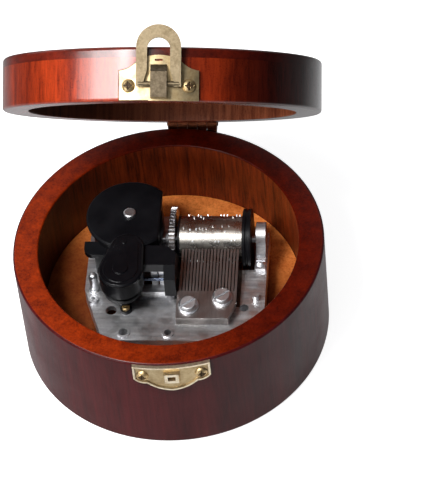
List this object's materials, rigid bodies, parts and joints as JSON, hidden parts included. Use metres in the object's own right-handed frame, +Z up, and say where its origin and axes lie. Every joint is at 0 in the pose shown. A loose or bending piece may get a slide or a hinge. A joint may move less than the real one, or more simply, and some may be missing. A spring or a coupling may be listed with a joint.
{
  "type": "wind-up music box",
  "caption": "Round wooden box with a hinged lid and brass hasp, holding a wind-up movement with a pinned cylinder, tuned steel comb and air-brake governor.",
  "frame": {"origin": "centre of the box's underside", "axes": "+Z up, -Y to the front where the hasp is, +Y to the hinge"},
  "size_m": [0.086, 0.1001, 0.1159],
  "materials": {
    "wood_wall": "stained and lacquered, gloss",
    "wood_lid": "stained and lacquered, gloss",
    "wood_floor": "stained, satin",
    "antique_brass": "antique",
    "brass": "stamped, polished",
    "zinc": "die-cast, bright",
    "steel": "ground",
    "bright_steel": "nickel plated",
    "nickel": "nickel plated, satin",
    "gear_metal": "machined",
    "spring_steel": "blued",
    "black_plastic": "moulded, gloss",
    "key_metal": "nickel plated"
  },
  "bodies": {
    "box": {"box_ring": "wood_wall", "floor_board": "wood_floor", "hinge_leaf_lower": "antique_brass", "hinge_pin": "antique_brass", "hinge_screws_lower": "antique_brass", "strike_plate": "brass", "strike_screws": "brass", "bedplate": "zinc", "bedplate_screws": "bright_steel", "comb": "steel", "comb_washers": "bright_steel", "comb_screws": "bright_steel", "bearing_bracket": "zinc", "bracket_screw": "bright_steel", "spring_case": "black_plastic", "idler_axle": "bright_steel", "governor_frame": "black_plastic", "governor_cover": "black_plastic", "governor_screw": "brass", "frame_stud": "bright_steel"},
    "lid": {"lid_shell": "wood_lid", "hinge_leaf_upper": "antique_brass", "hinge_screws_upper": "antique_brass", "hasp_plate": "brass", "hasp_screws": "brass"},
    "loop": {"hasp_loop": "brass"},
    "key": {"winding_arbor": "bright_steel", "winding_key": "key_metal"},
    "barrel": {"spring_barrel": "black_plastic", "mainspring": "spring_steel"},
    "cylinder": {"cylinder_drum": "nickel", "cylinder_pins": "nickel", "cylinder_shaft": "bright_steel", "cylinder_flange_left": "black_plastic", "cylinder_flange_right": "black_plastic", "cylinder_wheel": "gear_metal", "cylinder_collar": "bright_steel", "cylinder_pinion": "gear_metal"},
    "idler": {"idler_pinion": "gear_metal"},
    "governor": {"governor_wheel": "gear_metal", "governor_arbor": "spring_steel", "worm_wheel": "black_plastic"},
    "fan": {"fan_spindle": "bright_steel", "fan": "black_plastic"}
  },
  "joints": [
    {"name": "lid_hinge", "type": "hinge", "parent": "box", "child": "lid", "pos_m": [0.0038, 0.0443, 0.03415], "axis": [-1, 0, 0], "range_deg": [-50.8, 49.2]},
    {"name": "hasp_swing", "type": "hinge", "parent": "lid", "child": "loop", "pos_m": [0.00396, -0.00846, 0.10587], "axis": [0.9961, 0.0559, -0.0685], "range_deg": [0, 180]},
    {"name": "key_turn", "type": "hinge", "parent": "box", "child": "key", "pos_m": [-0.0116, 0.011, 0.02], "axis": [0, 0, 1], "continuous": true},
    {"name": "cylinder_turn", "type": "hinge", "parent": "box", "child": "cylinder", "pos_m": [0.01, 0.011, 0.0225], "axis": [1, 0, 0], "continuous": true},
    {"name": "barrel_turn", "type": "hinge", "parent": "box", "child": "barrel", "pos_m": [-0.0116, 0.011, 0.022], "axis": [0, 0, 1], "continuous": true},
    {"name": "idler_turn", "type": "hinge", "parent": "box", "child": "idler", "pos_m": [0.0002, 0.00056, 0.02397], "axis": [1, 0, 0], "continuous": true},
    {"name": "governor_turn", "type": "hinge", "parent": "box", "child": "governor", "pos_m": [0.0002, -0.00507, 0.0242], "axis": [1, 0, 0], "continuous": true},
    {"name": "fan_turn", "type": "hinge", "parent": "box", "child": "fan", "pos_m": [-0.01245, -0.00983, 0.026], "axis": [0, 0, 1], "continuous": true}
  ],
  "couplings": [
    {"joint": "barrel_turn", "follows": "cylinder_turn", "ratio": 0.35},
    {"joint": "idler_turn", "follows": "cylinder_turn", "ratio": -5},
    {"joint": "governor_turn", "follows": "cylinder_turn", "ratio": 2.2727},
    {"joint": "fan_turn", "follows": "cylinder_turn", "ratio": 40.909}
  ]
}
